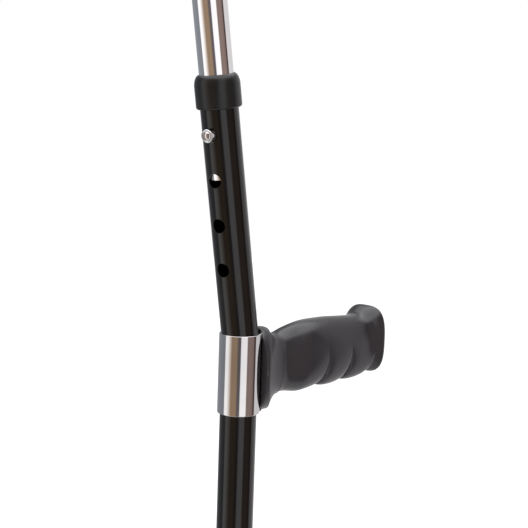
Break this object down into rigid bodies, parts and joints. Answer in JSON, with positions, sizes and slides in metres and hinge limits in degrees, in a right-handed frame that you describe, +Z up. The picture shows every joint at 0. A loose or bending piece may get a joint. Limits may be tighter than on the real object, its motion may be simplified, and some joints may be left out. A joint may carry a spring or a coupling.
{
  "type": "forearm crutch",
  "caption": "Bent tubular forearm crutch with finger-groove hand grip, open-front arm cuff, telescoping leg and upper tube with snap buttons, rubber tip.",
  "frame": {"origin": "centre of the rubber tip's sole, on the floor", "axes": "+Z up along the lower upright, +X forward along the hand grip, +Y to the left of a user who faces +X"},
  "size_m": [0.172, 0.098, 1.1794],
  "materials": {
    "anodised_black": "gloss anodised tube",
    "polished_aluminium": "bright polished tube",
    "polished_steel": "polished plate",
    "zinc_steel": "zinc plate",
    "spring_steel": "blued spring temper",
    "brass_insert": "turned",
    "black_nylon": "satin moulded",
    "grip_plastic": "satin moulded",
    "cuff_vinyl": "soft dipped vinyl",
    "tip_rubber": "matte moulded"
  },
  "bodies": {
    "shaft": {"outer_tube": "anodised_black", "upper_collar": "black_nylon", "leg_collar": "black_nylon", "handle_clamp": "polished_steel", "handle_core": "zinc_steel", "core_rivets": "zinc_steel", "core_insert": "brass_insert", "hand_grip": "grip_plastic", "grip_washer": "zinc_steel", "grip_screw": "zinc_steel", "grip_end_plug": "grip_plastic"},
    "forearm_section": {"forearm_tube": "polished_aluminium", "forearm_button_spring": "spring_steel", "top_plug": "black_nylon", "pivot_washers": "black_nylon", "cuff_pivot_bolt": "polished_steel", "cuff_pivot_nut": "polished_steel"},
    "forearm_button": {"forearm_button": "polished_steel"},
    "cuff": {"cuff_bracket": "polished_steel", "cuff_rivets": "polished_steel", "cuff_band": "spring_steel", "cuff_cover": "cuff_vinyl"},
    "leg_section": {"leg_tube": "polished_aluminium", "leg_button_spring": "spring_steel", "rubber_tip": "tip_rubber", "tip_washer": "zinc_steel"},
    "leg_button": {"leg_button": "polished_steel"}
  },
  "joints": [
    {"name": "forearm_slide", "type": "slide", "parent": "shaft", "child": "forearm_section", "axis": [-0.1633, 0, 0.9866], "range_m": [-0.0762, 0], "deforming": ["forearm_button"]},
    {"name": "forearm_button_press", "type": "slide", "parent": "forearm_section", "child": "forearm_button", "axis": [0.973, 0.165, 0.1611], "range_m": [0, 0.0056], "stiffness_N_per_m": 1200, "springref_m": -0.002, "deforming": ["forearm_button_spring"]},
    {"name": "cuff_pivot", "type": "hinge", "parent": "forearm_section", "child": "cuff", "pos_m": [-0.04344, 0, 1.13243], "axis": [0, 1, 0], "range_deg": [-15, 15]},
    {"name": "leg_slide", "type": "slide", "parent": "shaft", "child": "leg_section", "axis": [0, 0, 1], "range_m": [-0.1016, 0.127], "deforming": ["leg_button"]},
    {"name": "leg_button_press", "type": "slide", "parent": "leg_section", "child": "leg_button", "axis": [0.9863, 0.165, 0], "range_m": [0, 0.0056], "stiffness_N_per_m": 1200, "springref_m": -0.002, "deforming": ["leg_button_spring"]}
  ]
}
